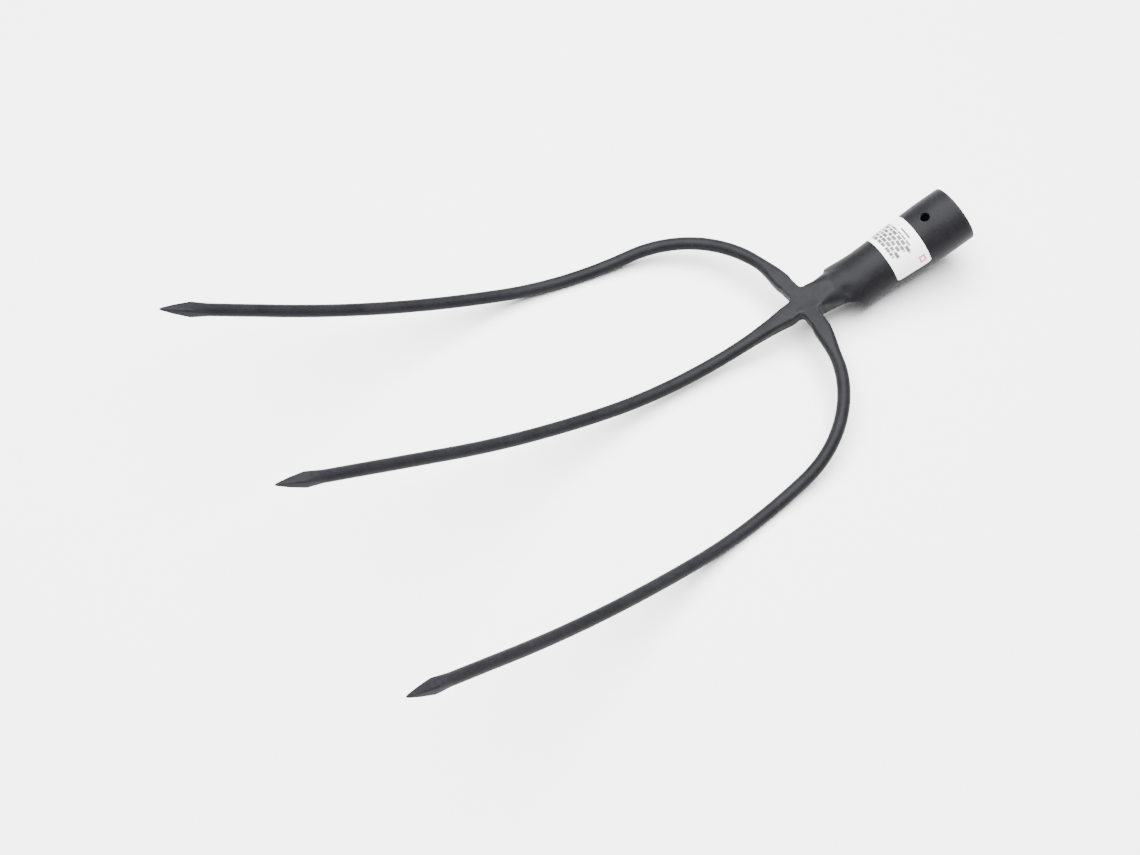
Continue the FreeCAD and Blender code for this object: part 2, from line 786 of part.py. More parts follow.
def settle(bodies):
    """Tip the whole head and set it down with its lowest point on the floor."""
    turn = FreeCAD.Rotation(FreeCAD.Vector(0, 1, 0), -rest_pitch.value)
    tipped = FreeCAD.Placement(FreeCAD.Vector(0, 0, 0), turn)
    box = FreeCAD.BoundBox()
    for body in bodies:
        shape = body.Shape.copy()
        shape.Placement = tipped.multiply(shape.Placement)
        box.add(shape.optimalBoundingBox(False, False))
    shift = FreeCAD.Vector(-box.Center.x, -box.Center.y, -box.ZMin)
    for body in bodies:
        body.Placement = FreeCAD.Placement(shift, turn)
    doc.recompute()


def checked(body):
    shape = body.Shape
    if shape.isNull() or not shape.isValid():
        raise ValueError("%s has no sound shape" % body.Label)
    if len(shape.Solids) != 1:
        raise ValueError("%s is %d solids" % (body.Label, len(shape.Solids)))
    return shape


os.makedirs("parts", exist_ok=True)
doc.recompute()
bodies = [
    make_crown(),
    make_neck(),
    make_socket(),
    make_middle_tine(),
    make_outer_tine("left_tine", -1),
    make_outer_tine("right_tine", 1),
    make_label(),
]
settle(bodies)
for item in doc.Objects:
    if "Invalid" in item.State or "Error" in item.State:
        raise ValueError("%s: %s" % (item.Label, item.State))
for body in bodies:
    checked(body).exportStep("parts/%s.step" % body.Label)
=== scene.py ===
import math

import bmesh
import bpy
from mathutils import Matrix, Vector, noise


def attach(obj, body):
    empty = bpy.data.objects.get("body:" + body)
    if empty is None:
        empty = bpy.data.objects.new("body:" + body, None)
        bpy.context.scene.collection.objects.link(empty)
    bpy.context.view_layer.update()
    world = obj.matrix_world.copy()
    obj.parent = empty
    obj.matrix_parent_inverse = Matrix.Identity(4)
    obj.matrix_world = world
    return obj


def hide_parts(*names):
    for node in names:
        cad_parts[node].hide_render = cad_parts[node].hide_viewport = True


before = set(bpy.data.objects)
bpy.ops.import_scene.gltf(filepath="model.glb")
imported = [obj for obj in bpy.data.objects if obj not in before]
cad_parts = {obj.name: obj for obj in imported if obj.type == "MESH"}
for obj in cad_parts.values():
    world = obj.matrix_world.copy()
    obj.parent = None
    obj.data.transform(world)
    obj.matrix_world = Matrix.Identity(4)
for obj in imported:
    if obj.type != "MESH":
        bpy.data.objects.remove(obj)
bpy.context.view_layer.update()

# Head of a three-tine hay fork. Its pieces are laid out flat, in millimetres: the middle of the
# crown at the origin, the socket along +X, the tines towards -X. At the end each piece is
# carried to where the head lies on the floor, in metres.
CROWN_ON_FLOOR = Vector((0.120426, 0.0, 0.022915))
REST_PITCH = 12.4
MILLIMETRE = 0.001
TO_FLOOR = (
    Matrix.Translation(CROWN_ON_FLOOR)
    @ Matrix.Rotation(math.radians(-REST_PITCH), 4, "Y")
    @ Matrix.Scale(MILLIMETRE, 4)
)
SHARP_ANGLE = 38.0

# Crown. Reaches are counted from its middle, headings from the socket's axis.
CROWN_HALF = 4.6
EDGE_ROUND = 1.9
ARM_HEADING = 96.0
ARM_WIDTH = 9.6
ARM_REACH = 16.5
MIDDLE_WIDTH = 11.6
MIDDLE_REACH = 14.0
NECK_WIDTH = 18.6
NECK_REACH = 7.5
CROTCH_ROUND = 3.0
CORNER_ROUND = 2.8
DISH_DEPTH = 0.45
DISH_SPREAD = 40.0
CROWN_RINGS = 9
ACROSS_STEPS = 8

# Ribs under the crown: how far they run past its middle, where they start beside the hollow and
# where they end in the arms, both as (distance from the middle, length of the slope)
RIB_RUN = 2.5
RIB_INNER = (4.2, 1.6)
RIB_OUTER = (15.0, 5.5)

# Tines. Bends are (radius, turn). Sections are (distance from the crown's middle, width,
# thickness, corner).
BAR = 8.2
SLIM = 7.7
ROOT_BLEND = 15.0
OUTER_STRAIGHT = 28.5
SHOULDER_RADIUS = 80.0
SHOULDER_TURN = 74.0
ROUND_TURN = 8.5
OUTER_BENDS = ((180.0, 27.5), (630.0, 14.0))
OUTER_RUN = 77.0
OUTER_SWELL = (22.5, 10.9, 8.8, 2.4)
MIDDLE_STRAIGHT = 41.0
MIDDLE_BENDS = ((220.0, 27.5), (540.0, 12.5))
MIDDLE_RUN = 117.0
MIDDLE_TAPERS = ((24.0, 9.4, 8.7, 2.1), (33.0, 8.7, 8.4, 2.8), (41.0, 8.3, 8.2, 3.5))

# Sections of the four-sided point, counted back from the tip
POINT = (
    (31.0, SLIM, SLIM, SLIM / 2),
    (24.0, 8.3, 7.5, 3.0),
    (19.5, 8.0, 6.8, 1.4),
    (9.0, 4.7, 4.1, 0.7),
    (0.7, 1.5, 1.3, 0.4),
    (0.0, 0.8, 0.7, 0.33),
)
POINT_WEAR = 0.3
POINT_WEAR_BLEND = 8.0

# How the real forging lies off its drawing: sideways at the middle root and further out on the
# other tines, and lengthwise on the near arm, as (distance out, reach, shift)
ROOT_SHIFT = 0.75
TINE_SHIFT = 0.35
ARM_SHIFTS = ((19.0, 9.0, 0.65), (40.0, 10.0, -0.45))
# and over which lengths these grow or fade, as (distance from the middle, length)
ROOT_SPAN = (4.0, 9.0)
TINE_SPAN = 90.0
MIDDLE_SPAN = (24.0, 14.0)
ARM_SPAN = (40.0, 30.0)

# Marks of the hammer: their depths, the lengths over which they fade out at the two ends of a
# tine, and their waves per millimetre
CROWN_MARKS = 0.4
NECK_MARKS = 0.3
TINE_MARKS = 0.16
ROOT_FADE = 6.0
TIP_FADE = 3.0
BROAD_MARKS = 0.16
CLOSE_MARKS = 0.45
TINE_WAVES = 0.11

# Socket: places along its own axis, from its front; angles from its top, positive to the right
SOCKET_START = 25.0
SOCKET_DROP = 14.1
SOCKET_TILT = 3.0
SOCKET_LENGTH = 88.6
SOCKET_RADII = ((0.0, 18.2), (21.1, 16.9), (68.6, 19.0), (88.6, 19.0))
SHEET = 2.0
LIP = 0.7
LIP_BLEND = 8.0
JOINED_ANGLE = 55.0
SHEET_FRONT = (
    (0.0, 0.0), (55.0, 0.0), (61.5, 1.7), (72.0, 3.8), (90.0, 6.2),
    (107.0, 8.0), (119.0, 9.6), (150.0, 16.0), (180.0, 20.0),
)
# how far the mouth lies past the length: all round, more on the left, more underneath
MOUTH_SLANT = (0.33, 0.48, 0.57)
SEAM_WIDTH = 1.2
NAIL_PLACE = 68.2
NAIL_DIAMETER = 6.3
DRILL_SPAN = (12.0, 24.0)
# how much painted shade darkens the sides and the underside, and from which angle on, as (angle, sweep)
SIDE_PAINTED_SHADE = 0.8
SIDE_SPAN = (30.0, 50.0)
SOCKET_STEPS = 46
SOCKET_COLUMNS = 192

# Neck sections: (place, half width, top, shoulder rounding, foot, half hollow, roof of the hollow)
NECK_FACE = (NECK_REACH, NECK_WIDTH / 2, CROWN_HALF, EDGE_ROUND, -8.4, 5.6, -3.4)
NECK_MIDDLE = (13.0, 10.0, 4.7, 5.6, -7.8, 6.4, -1.4)
NECK_WAIST = (19.5, 11.7, 5.0, 9.0, -6.9, 8.0, 0.7)
# where they and the sheet's front stand, as shares of the neck's length
NECK_SHARES = (0.0, 0.3, 0.68, 1.0)
NECK_STEPS = 26
SKIRT_STEPS, SHOULDER_STEPS, FLAT_STEPS, EDGE_STEPS, HOLLOW_STEPS = 6, 8, 12, 3, 18

# The ribs are as deep as the neck's skirts hang below the crown.
RIB_DEPTH = -CROWN_HALF - NECK_FACE[4]

# Dents around the neck, as (x, y, reach, depth). The underside has none, and they fade out down
# the socket.
DENTS = ((25.5, -9.8, 4.0, 1.3), (26.5, 10.5, 4.5, 0.8), (36.0, 1.0, 8.0, 0.35))
UNDERSIDE = -8.0
DENTS_END = 32.0
DENTS_FADE = 12.0

# Label, placed as the socket's parts are
LABEL_START = 33.0
LABEL_END = 57.8
LABEL_NEAR = -85.4
LABEL_FAR = 74.0
LABEL_RADIUS = 17.8
LABEL_CORNER = 2.2
LABEL_COLUMNS = 90
LABEL_ROWS = 30
PAPER = 0.2
PASTE = 0.02
PAPER_LIFT = 0.06

# Print, in shares of the label: rows, the white between them, and where the rows break, as
# (words in a row, shift from row to row, white between words)
PRINT_ROWS = 9.5
ROW_GAP = 0.19
WORD_GAPS = ((11.0, 0.37, 0.10), (6.3, 0.71, 0.07))

# Camera, recovered from the outlines of the tines, the crown and the socket
CAMERA_PLACE = Vector((-0.42439, -0.62110, 1.11777))
CAMERA_AZIMUTH = -31.040
CAMERA_ELEVATION = 56.563
CAMERA_ROLL = -0.616
LENS = 69.21
SENSOR = 36.0


# Node trees

class Wire:
    """One output of a node, with the maths of a plain number."""

    def __init__(self, tree, socket):
        self.tree = tree
        self.socket = socket

    def __add__(self, other):
        return self.tree.maths("ADD", self, other)

    def __radd__(self, other):
        return self.tree.maths("ADD", other, self)

    def __sub__(self, other):
        return self.tree.maths("SUBTRACT", self, other)

    def __rsub__(self, other):
        return self.tree.maths("SUBTRACT", other, self)

    def __mul__(self, other):
        return self.tree.maths("MULTIPLY", self, other)

    def __rmul__(self, other):
        return self.tree.maths("MULTIPLY", other, self)

    def __gt__(self, other):
        return self.tree.maths("GREATER_THAN", self, other)

    def __lt__(self, other):
        return self.tree.maths("LESS_THAN", self, other)


class Tree:
    """A tree of nodes under construction."""

    def __init__(self, tree):
        self.tree = tree

    def node(self, kind, settings=None, inputs=None, output=0):
        """Adds a node: its settings first, then the values or wires of its inputs."""
        made = self.tree.nodes.new(kind)
        for key, value in (settings or {}).items():
            if key == "stops":
                self.set_stops(made.color_ramp, value)
            else:
                setattr(made, key, value)
        for key, value in (inputs or {}).items():
            if isinstance(value, Wire):
                self.tree.links.new(value.socket, made.inputs[key])
            else:
                made.inputs[key].default_value = value
        return Wire(self, made.outputs[output])

    def set_stops(self, ramp, stops):
        while len(ramp.elements) < len(stops):
            ramp.elements.new(1.0)
        for element, (place, colour) in zip(ramp.elements, stops):
            element.position = place
            element.color = (*colour, 1.0)

    def maths(self, operation, *values):
        return self.node("ShaderNodeMath", {"operation": operation}, dict(enumerate(values)))

    def vector(self, operation, *values):
        return self.node("ShaderNodeVectorMath", {"operation": operation}, dict(enumerate(values)))

    def scaled(self, vector, factor):
        settings = {"operation": "SCALE"}
        return self.node("ShaderNodeVectorMath", settings, {"Vector": vector, "Scale": factor})

    def parts(self, vector):
        """The three numbers of a vector."""
        split = self.node("ShaderNodeSeparateXYZ", None, {"Vector": vector})
        outputs = split.socket.node.outputs
        return [Wire(self, outputs[index]) for index in range(3)]

    def noise(self, place, scale, detail=4.0, roughness=0.5):
        return self.node("ShaderNodeTexNoise", None, {
            "Vector": place, "Scale": scale, "Detail": detail, "Roughness": roughness,
        })


class Finish(Tree):
    """A material under construction."""

    def __init__(self, name):
        self.material = bpy.data.materials.new(name)
        self.material.use_nodes = True
        super().__init__(self.material.node_tree)
        self.tree.nodes.clear()

    def place(self):
        """Object coordinates, in metres."""
        return self.node("ShaderNodeTexCoord", output=3)

    def attribute(self, name):
        return self.node("ShaderNodeAttribute", {"attribute_name": name}, output=2)

    def ramp(self, factor, stops):
        return self.node("ShaderNodeValToRGB", {"stops": stops}, {"Fac": factor})

    def blend(self, factor, first, second):
        """Mixes two colours, wires or plain ones."""
        first, second = (c if isinstance(c, Wire) else (*c, 1.0) for c in (first, second))
        settings = {"data_type": "RGBA"}
        return self.node("ShaderNodeMix", settings, {0: factor, 6: first, 7: second}, 2)

    def bump(self, height, strength, distance):
        return self.node("ShaderNodeBump", None, {
            "Strength": strength, "Distance": distance, "Height": height,
        })

    def close(self, surface):
        out = self.tree.nodes.new("ShaderNodeOutputMaterial")
        self.tree.links.new(surface.socket, out.inputs["Surface"])
        return self.material


# Finishes

def painted_steel(name, tint, mottle):
    """Charcoal paint, semi-gloss, on forged or rolled steel, rubbed a little on its edges.

    Its noises are counted in waves per metre. Two values stored on the points steer it: wear,
    where the paint is rubbed, and the painted shade value, where shade is painted into the colour on
    sides and undersides.
    """
    finish = Finish(name)

    def shade(factor):
        return tuple(channel * factor for channel in tint)

    place = finish.place()
    broad = finish.noise(place, mottle, 3.0)
    middle = finish.noise(place, mottle * 6.0, 4.0, 0.6)
    fine = finish.noise(place, 700.0, 3.0, 0.6)
    grain = finish.noise(place, 1900.0, 2.0)
    rub = finish.attribute("wear") * middle * 1.3
    spots = broad * 0.45 + middle * 0.3 + fine * 0.25
    paint = finish.ramp(spots, [(0.38, shade(0.72)), (0.5, tint), (0.62, shade(1.35))])
    # Painted shade: the paint darkens towards 0.45 of its tint by the shade value stored on the points.
    paint = finish.blend(finish.attribute("recess"), paint, shade(0.45))
    surface = finish.node("ShaderNodeBsdfPrincipled", None, {
        "Base Color": finish.blend(rub, paint, shade(2.1)),
        "Roughness": 0.40 + 0.20 * middle - 0.06 * rub,
        "Normal": finish.bump(0.75 * middle + 0.25 * grain, 0.25, 0.0005),
        "Specular IOR Level": 0.08,
    })
    return finish.close(surface)


def label_paper(name):
    """White paper with plain broken lines in grey and a red frame, which say nothing."""
    finish = Finish(name)
    across, along, _ = finish.parts(finish.node("ShaderNodeUVMap", {"uv_map": "print"}))
    fibre = finish.noise(finish.place(), 900.0, 3.0)

    def band(value, low, high):
        return (value > low) * (value < high)

    rows = along * PRINT_ROWS
    row = finish.maths("FLOOR", rows)
    inked = finish.maths("FRACT", rows) > ROW_GAP
    for words, shift, gap in WORD_GAPS:
        inked = inked * (finish.maths("FRACT", across * words + row * shift) > gap)
    row_start = 0.27 + 0.12 * finish.maths("FRACT", row * 0.61)
    lines = band(along, 0.12, 0.70) * band(across, row_start, 0.92) * inked
    heading = band(along, 0.76, 0.81) * band(across, 0.43, 0.60)
    outside = band(along, 0.71, 0.89) * band(across, 0.065, 0.165)
    inside = band(along, 0.76, 0.84) * band(across, 0.09, 0.14)
    white = finish.ramp(fibre, [(0.3, (0.86, 0.86, 0.87)), (0.7, (0.93, 0.93, 0.94))])
    grey = finish.blend((lines + heading) * 0.95, white, (0.025, 0.025, 0.028))
    surface = finish.node("ShaderNodeBsdfPrincipled", None, {
        "Base Color": finish.blend((outside - inside) * 0.9, grey, (0.60, 0.06, 0.07)),
        "Roughness": 0.42 + 0.2 * fibre,
        "Normal": finish.bump(fibre, 0.12, 0.0001),
    })
    return finish.close(surface)


def floor_paint(name):
    finish = Finish(name)
    surface = finish.node("ShaderNodeBsdfPrincipled", None, {
        "Base Color": (0.95, 0.95, 0.95, 1.0), "Roughness": 0.95,
    })
    return finish.close(surface)


forged_paint = painted_steel("forged_paint", (0.0089, 0.0088, 0.0107), 60.0)
sheet_paint = painted_steel("sheet_paint", (0.0076, 0.0075, 0.0092), 75.0)
paper = label_paper("label_paper")


# Helpers for shapes

def eased(share):
    """A smooth rise from 0 to 1; a share beyond either end is held there."""
    share = min(1.0, max(0.0, share))
    return share * share * (3.0 - 2.0 * share)


def between(stations, place):
    """The values at a place, on straight lines between stations that start with their place."""
    for before, after in zip(stations, stations[1:]):
        if place <= after[0]:
            share = (place - before[0]) / (after[0] - before[0])
            return tuple(a + (b - a) * share for a, b in zip(before[1:], after[1:]))
    return stations[-1][1:]


def through(stations, place):
    """The values at a place, on a smooth curve through the stations."""
    place = min(max(place, stations[0][0]), stations[-1][0])
    index = max(i for i in range(len(stations) - 1) if place >= stations[i][0])
    start, end = stations[index], stations[index + 1]
    width = end[0] - start[0]
    share = (place - start[0]) / width
    square, cube = share * share, share * share * share

    def slope(number, column):
        low, high = stations[max(number - 1, 0)], stations[min(number + 1, len(stations) - 1)]
        return (high[column] - low[column]) / (high[0] - low[0])

    return tuple(
        start[column] * (2 * cube - 3 * square + 1)
        + slope(index, column) * width * (cube - 2 * square + share)
        + end[column] * (3 * square - 2 * cube)
        + slope(index + 1, column) * width * (cube - square)
        for column in range(1, len(start))
    )


def settled(point):
    """Where a point of the flat drawing lies in the real forging, a little off the drawing."""
    x, y, z = point
    root = eased((-x - ROOT_SPAN[0]) / ROOT_SPAN[1])
    far_out = eased(-x / TINE_SPAN)
    middle = eased((MIDDLE_SPAN[0] - abs(y)) / MIDDLE_SPAN[1])
    on_arm = min(1.0, max(0.0, (x + ARM_SPAN[0]) / ARM_SPAN[1]))
    sideways = ROOT_SHIFT * root * middle + TINE_SHIFT * far_out * (1.0 - middle)
    for place, reach, shift in ARM_SHIFTS:
        x += shift * on_arm * math.exp(-((-y - place) / reach) ** 2)
    return Vector((x, y - sideways, z))


def hammered(point, depth):
    """Height of the slight unevenness that the hammer leaves, at a place."""
    return depth * noise.noise(point * BROAD_MARKS) + 0.4 * depth * noise.noise(point * CLOSE_MARKS)


def set_attribute(mesh, name, values):
    attribute = mesh.attributes.new(name, "FLOAT", "POINT")
    attribute.data.foreach_set("value", values)


def mesh_from(edit, name):
    """The mesh of an edit that is finished."""
    mesh = bpy.data.meshes.new(name)
    edit.to_mesh(mesh)
    edit.free()
    return mesh


def add_piece(name, mesh, node, material=None):
    """Carries a finished mesh to the floor; it stands for its CAD node."""
    mesh.transform(TO_FLOOR)
    edit = bmesh.new()
    edit.from_mesh(mesh)
    bmesh.ops.recalc_face_normals(edit, faces=edit.faces)
    edit.to_mesh(mesh)
    edit.free()
    if material:
        mesh.materials.clear()
        mesh.materials.append(material)
    mesh.shade_smooth()
    mesh.set_sharp_from_angle(angle=math.radians(SHARP_ANGLE))
    piece = bpy.data.objects.new(name, mesh)
    bpy.context.scene.collection.objects.link(piece)
    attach(piece, "root")
    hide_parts(node)


# Tines

class Walk:
    """Walks along a tine's middle line and leaves points behind."""

    def __init__(self, x, y, heading, side):
        self.place = Vector((x, y, 0.0))
        self.heading = math.radians(heading)
        self.pitch = 0.0
        self.side = side
        self.points = [self.place.copy()]

    def ahead(self):
        level = math.cos(self.pitch)
        return Vector((
            level * math.cos(self.heading),
            level * math.sin(self.heading) * self.side,
            math.sin(self.pitch),
        ))

    def step(self, length, steps, turn=0.0, rise=0.0):
        """Equal steps, each along the middle of its own share of the bend."""
        for _ in range(steps):
            self.heading += turn / steps / 2
            self.pitch += rise / steps / 2
            self.place = self.place + self.ahead() * (length / steps)
            self.heading += turn / steps / 2
            self.pitch += rise / steps / 2
            self.points.append(self.place.copy())

    def straight(self, length, stride=1.2):
        self.step(length, max(2, round(length / stride)))

    def bend_in_plan(self, radius, degrees, stride=1.2):
        angle = math.radians(degrees)
        self.step(radius * angle, round(radius * angle / stride), turn=angle)

    def bend_up(self, radius, degrees, stride=1.6):
        angle = math.radians(degrees)
        self.step(radius * angle, round(radius * angle / stride), rise=angle)


def tine_tree():
    """Draws a bar along a line of points, with the section that each point carries."""
    group = bpy.data.node_groups.new("drawn_bar", "GeometryNodeTree")
    inputs = (
        ("Middle Line", "NodeSocketGeometry", None),
        ("Sides Around", "NodeSocketInt", 48),
        ("Hammer Depth", "NodeSocketFloat", TINE_MARKS),
        ("Hammer Pitch", "NodeSocketFloat", TINE_WAVES),
        ("Paint", "NodeSocketMaterial", None),
    )
    for label, kind, value in inputs:
        socket = group.interface.new_socket(label, in_out="INPUT", socket_type=kind)
        if value is not None:
            socket.default_value = value
    group.interface.new_socket("Bar", in_out="OUTPUT", socket_type="NodeSocketGeometry")
    tree = Tree(group)
    entry = group.nodes.new("NodeGroupInput")
    line, sides, depth, pitch, paint = (Wire(tree, entry.outputs[i]) for i in range(len(inputs)))

    def keep(geometry, name, value, kind="FLOAT_VECTOR"):
        return tree.node("GeometryNodeStoreNamedAttribute", {"data_type": kind}, {
            "Geometry": geometry, "Name": name, "Value": value,
        })

    def kept(name, kind="FLOAT"):
        return tree.node("GeometryNodeInputNamedAttribute", {"data_type": kind}, {"Name": name})

    def sign(value):
        return tree.maths("SIGN", tree.maths("ROUND", value * 100.0))

    # The line becomes a curve that carries its own frame, and a ring is drawn along it.
    curve = tree.node("GeometryNodeMeshToCurve", None, {"Mesh": line})
    curve = tree.node("GeometryNodeSetCurveNormal", {"mode": "Z_UP"}, {"Curve": curve})
    across = tree.node("GeometryNodeInputNormal")
    lift = tree.vector("CROSS_PRODUCT", tree.node("GeometryNodeInputTangent"), across)
    curve = keep(curve, "centre", tree.node("GeometryNodeInputPosition"))
    curve = keep(curve, "across", across)
    curve = keep(curve, "lift", lift)
    ring = tree.node("GeometryNodeCurvePrimitiveCircle", {"mode": "RADIUS"}, {
        "Resolution": sides, "Radius": 1.0,
    })
    ring = keep(ring, "around", tree.node("GeometryNodeInputPosition"))
    bar = tree.node("GeometryNodeCurveToMesh", None, {
        "Curve": curve, "Profile Curve": ring, "Fill Caps": True,
    })

    # Each point moves out to its place on a rectangle with round corners.
    cosine, sine, _ = tree.parts(kept("around", "FLOAT_VECTOR"))
    corner = kept("corner")
    side = sign(cosine) * (kept("width") * 0.5 - corner) + cosine * corner
    rise = sign(sine) * (kept("depth") * 0.5 - corner) + sine * corner
    sideways = tree.scaled(kept("across", "FLOAT_VECTOR"), side)
    upwards = tree.scaled(kept("lift", "FLOAT_VECTOR"), rise)
    place = tree.vector("ADD", kept("centre", "FLOAT_VECTOR"), tree.vector("ADD", sideways, upwards))
    bar = tree.node("GeometryNodeSetPosition", None, {"Geometry": bar, "Position": place})
    # Painted shade: the bar's sides are darkened, its top and underside are not.
    flank = 1.0 - sine * sine
    bar = keep(bar, "recess", flank * flank * 0.8, "FLOAT")

    # The hammer's marks, and the paint.
    marks = tree.noise(tree.node("GeometryNodeInputPosition"), pitch, 2.0)
    height = (marks - 0.5) * depth * kept("beaten")
    outward = tree.scaled(tree.node("GeometryNodeInputNormal"), height)
    bar = tree.node("GeometryNodeSetPosition", None, {"Geometry": bar, "Offset": outward})
    bar = tree.node("GeometryNodeSetMaterial", None, {"Geometry": bar, "Material": paint})
    bar = tree.node("GeometryNodeRealizeInstances", None, {"Geometry": bar})
    leave = group.nodes.new("NodeGroupOutput")
    group.links.new(bar.socket, leave.inputs[0])
    return group


def evaluated(mesh, group, values):
    """A plain mesh, from a mesh put through a Geometry Nodes tree."""
    carrier = bpy.data.objects.new("carrier", mesh)
    bpy.context.scene.collection.objects.link(carrier)
    modifier = carrier.modifiers.new("tree", "NODES")
    modifier.node_group = group
    for item in group.interface.items_tree:
        if item.in_out == "INPUT" and item.name in values:
            modifier[item.identifier] = values[item.name]
    graph = bpy.context.evaluated_depsgraph_get()
    result = bpy.data.meshes.new_from_object(carrier.evaluated_get(graph), depsgraph=graph)
    bpy.data.objects.remove(carrier)
    return result


def drawn_bar(tree, walk, reach, root):
    """The mesh of a tine, drawn by the tree along a walk that starts at the crown's face.

    The root's sections are joined by a smooth curve, the bar's and the point's by straight lines.
    """
    points = walk.points
    places = [reach]
    for before, after in zip(points, points[1:]):
        places.append(places[-1] + (after - before).length)
    tip = places[-1]
    rest = [root[-1]] + [(tip - back, *section) for back, *section in POINT]
    sections = [through(root, place) if place < root[-1][0] else between(rest, place) for place in places]
    line = bpy.data.meshes.new("middle_line")
    edges = [(i, i + 1) for i in range(len(points) - 1)]
    line.from_pydata([tuple(settled(point)) for point in points], edges, [])
    for index, name in enumerate(("width", "depth", "corner")):
        set_attribute(line, name, [section[index] for section in sections])
    set_attribute(line, "beaten", [
        min(1.0, (place - reach) / ROOT_FADE, (tip - place) / TIP_FADE) for place in places
    ])
    set_attribute(line, "wear", [
        POINT_WEAR * eased((place - tip + POINT[0][0]) / POINT_WEAR_BLEND) for place in places
    ])
    return evaluated(line, tree, {"Paint": forged_paint})


def make_middle_tine(tree):
    walk = Walk(-MIDDLE_REACH, 0.0, 180.0, 1)
    walk.straight(MIDDLE_STRAIGHT - MIDDLE_REACH)
    for radius, degrees in MIDDLE_BENDS:
        walk.bend_up(radius, degrees)
    walk.straight(MIDDLE_RUN)
    root = [
        (MIDDLE_REACH, MIDDLE_WIDTH, 2 * CROWN_HALF, EDGE_ROUND),
        *MIDDLE_TAPERS,
        (MIDDLE_STRAIGHT + ROOT_BLEND, BAR, BAR, BAR / 2),
        (MIDDLE_STRAIGHT + 2 * ROOT_BLEND, BAR, BAR, BAR / 2),
    ]
    mesh = drawn_bar(tree, walk, MIDDLE_REACH, root)
    add_piece("middle_prong", mesh, "middle_tine")


def make_outer_tine(tree, name, node, side):
    heading = math.radians(ARM_HEADING)
    walk = Walk(ARM_REACH * math.cos(heading), ARM_REACH * math.sin(heading) * side, ARM_HEADING, side)
    walk.straight(OUTER_STRAIGHT - ARM_REACH)
    walk.bend_in_plan(SHOULDER_RADIUS, SHOULDER_TURN)
    for radius, degrees in OUTER_BENDS:
        walk.bend_up(radius, degrees)
    walk.straight(OUTER_RUN)
    round_place = OUTER_STRAIGHT + SHOULDER_RADIUS * math.radians(ROUND_TURN)
    root = [
        (ARM_REACH, ARM_WIDTH, 2 * CROWN_HALF, EDGE_ROUND),
        OUTER_SWELL,
        (round_place, BAR, BAR, BAR / 2),
        (round_place + ROOT_BLEND, BAR, BAR, BAR / 2),
    ]
    mesh = drawn_bar(tree, walk, ARM_REACH, root)
    add_piece(name, mesh, node)


# Crown

def arm_side(first, second, fillet):
    """Points and outward directions along the crown's rim, from one arm's end to the next's.

    An arm is (heading, half width, reach); the two sides meet in a fillet.
    """
    rim = []
    ways = [Vector((math.cos(h), math.sin(h))) for h in (first[0], second[0])]
    out_1 = Vector((-ways[0].y, ways[0].x))
    out_2 = Vector((ways[1].y, -ways[1].x))
    start = ways[0] * first[2] + out_1 * first[1]
    end = ways[1] * second[2] + out_2 * second[1]
    opening = math.pi - ways[0].angle(ways[1])
    cross = ways[0].x * ways[1].y - ways[0].y * ways[1].x
    gap = end - start
    to_corner = (gap.x * ways[1].y - gap.y * ways[1].x) / cross
    corner = start + ways[0] * to_corner
    back_off = fillet * math.tan(opening / 2)
    tangent_1 = corner + ways[0] * back_off
    tangent_2 = corner + ways[1] * back_off
    centre = tangent_1 + out_1 * fillet
    for share in (i / 8 for i in range(8)):
        rim.append((start.lerp(tangent_1, share), out_1))
    for share in (i / 10 for i in range(11)):
        out = out_1.slerp(out_2, share)
        rim.append((centre - out * fillet, out))
    for share in (i / 8 for i in range(1, 9)):
        rim.append((tangent_2.lerp(end, share), out_2))
    return rim


def rib_depth(x, y):
    """Depth of the two ribs underneath that run out of the neck's skirts into the arms."""
    rise = eased((x + RIB_RUN) / (NECK_REACH + RIB_RUN))
    inner = eased((abs(y) - RIB_INNER[0]) / RIB_INNER[1])
    outer = eased((RIB_OUTER[0] - abs(y)) / RIB_OUTER[1])
    return RIB_DEPTH * rise * inner * outer


